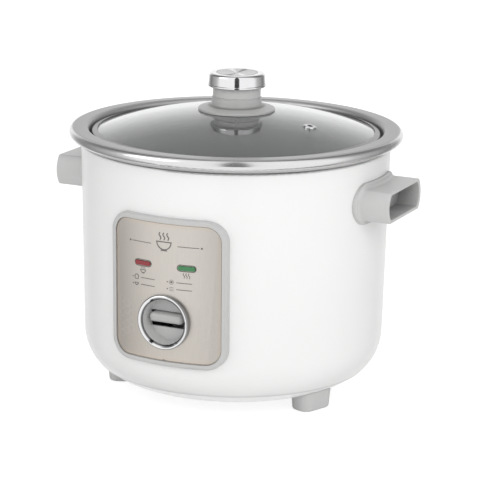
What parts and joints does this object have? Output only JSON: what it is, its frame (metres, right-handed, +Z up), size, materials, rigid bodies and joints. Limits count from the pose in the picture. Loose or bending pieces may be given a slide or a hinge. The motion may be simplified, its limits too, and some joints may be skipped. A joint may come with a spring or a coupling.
{
  "type": "rice cooker",
  "caption": "Drum-shaped electric rice cooker with a lift-out steel pot, domed glass lid with knob, side handles and a front panel with a press-down switch and signal lights.",
  "frame": {"origin": "on the floor under the middle of the drum", "axes": "+Z up, the control panel faces -Y, the handles lie along X"},
  "size_m": [0.3, 0.274, 0.2639],
  "materials": {
    "white_enamel": "satin white enamel",
    "grey_plastic": "fine-grained grey moulding",
    "champagne_steel": "vertical brushed, champagne tint",
    "chrome": "bright plated",
    "pot_steel": "satin with polished roll",
    "lid_glass": "clear toughened",
    "red_lens": "clear red",
    "green_lens": "clear green",
    "lamp_glass": "small lamp",
    "cast_aluminium": "turned face",
    "zinc_steel": "zinc plated",
    "magnet_black": "sintered",
    "black_plastic": "black moulding",
    "red_plastic": "red moulding",
    "ceramic": "glazed ceramic",
    "brass": "plated brass",
    "silicone": "soft seal",
    "washer_plastic": "grey moulding"
  },
  "bodies": {
    "cooker": {"outer_shell": "white_enamel", "base_cover": "white_enamel", "handle_right": "grey_plastic", "handle_left": "grey_plastic", "foot_right": "grey_plastic", "foot_left": "grey_plastic", "foot_rear": "grey_plastic", "panel_frame": "grey_plastic", "switch_dish": "grey_plastic", "fascia_plate": "champagne_steel", "switch_ring": "chrome", "cook_lens": "red_lens", "warm_lens": "green_lens", "cook_lamp": "lamp_glass", "warm_lamp": "lamp_glass", "heating_plate": "cast_aluminium", "keep_warm_thermostat": "cast_aluminium", "drum_floor": "zinc_steel", "foot_screws": "zinc_steel", "cover_spacers": "zinc_steel", "handle_screws": "zinc_steel", "plate_posts": "zinc_steel", "post_screws": "zinc_steel", "sensor_stirrup": "zinc_steel", "stirrup_screws": "zinc_steel", "sensor_spring": "zinc_steel", "lever_bracket": "zinc_steel", "pivot_pin": "zinc_steel", "pin_clips": "zinc_steel", "bracket_screws": "zinc_steel", "inlet_screws": "zinc_steel", "fuse_strap": "zinc_steel", "power_inlet": "black_plastic", "switch_case": "black_plastic", "terminal_bushes": "ceramic", "thermal_fuse": "ceramic", "inlet_prongs": "brass", "heater_terminals": "brass"},
    "pot": {"inner_pot": "pot_steel"},
    "lid": {"lid_glass": "lid_glass", "lid_band": "pot_steel", "steam_eyelet": "chrome", "knob_base": "grey_plastic", "knob_cap": "chrome", "knob_disc": "pot_steel", "knob_gasket": "silicone", "knob_washer": "washer_plastic", "knob_screw": "zinc_steel"},
    "lever": {"lever_arm": "zinc_steel", "lever_paddle": "grey_plastic"},
    "sensor": {"sensor_cap": "cast_aluminium", "sensor_guide": "zinc_steel", "sensor_ferrite": "magnet_black", "magnet_spring": "zinc_steel"},
    "magnet": {"release_magnet": "magnet_black", "magnet_rod": "zinc_steel", "rod_collar": "zinc_steel"},
    "button": {"switch_button": "red_plastic"}
  },
  "joints": [
    {"name": "pot_lift", "type": "slide", "parent": "cooker", "child": "pot", "axis": [0, 0, 1], "range_m": [0, 0.14]},
    {"name": "lid_lift", "type": "slide", "parent": "pot", "child": "lid", "axis": [0, 0, 1], "range_m": [0, 0.08]},
    {"name": "lever_press", "type": "hinge", "parent": "cooker", "child": "lever", "pos_m": [0, -0.066, 0.04684], "axis": [1, 0, 0], "range_deg": [0, 4.5], "stiffness_Nm_per_rad": 0.5, "springref_deg": -3.44},
    {"name": "sensor_press", "type": "slide", "parent": "cooker", "child": "sensor", "axis": [0, 0, 1], "range_m": [-0.0025, 0], "stiffness_N_per_m": 300, "springref_m": 0.004, "deforming": ["sensor_spring"]},
    {"name": "magnet_slide", "type": "slide", "parent": "sensor", "child": "magnet", "axis": [0, 0, 1], "range_m": [0, 0.0052], "deforming": ["magnet_spring"]},
    {"name": "button_rise", "type": "slide", "parent": "cooker", "child": "button", "axis": [0, 0, 1], "range_m": [0, 0.00099]}
  ],
  "couplings": [
    {"joint": "magnet_slide", "follows": "lever_press", "m_per_rad": 0.066},
    {"joint": "button_rise", "follows": "lever_press", "m_per_rad": 0.0125}
  ]
}
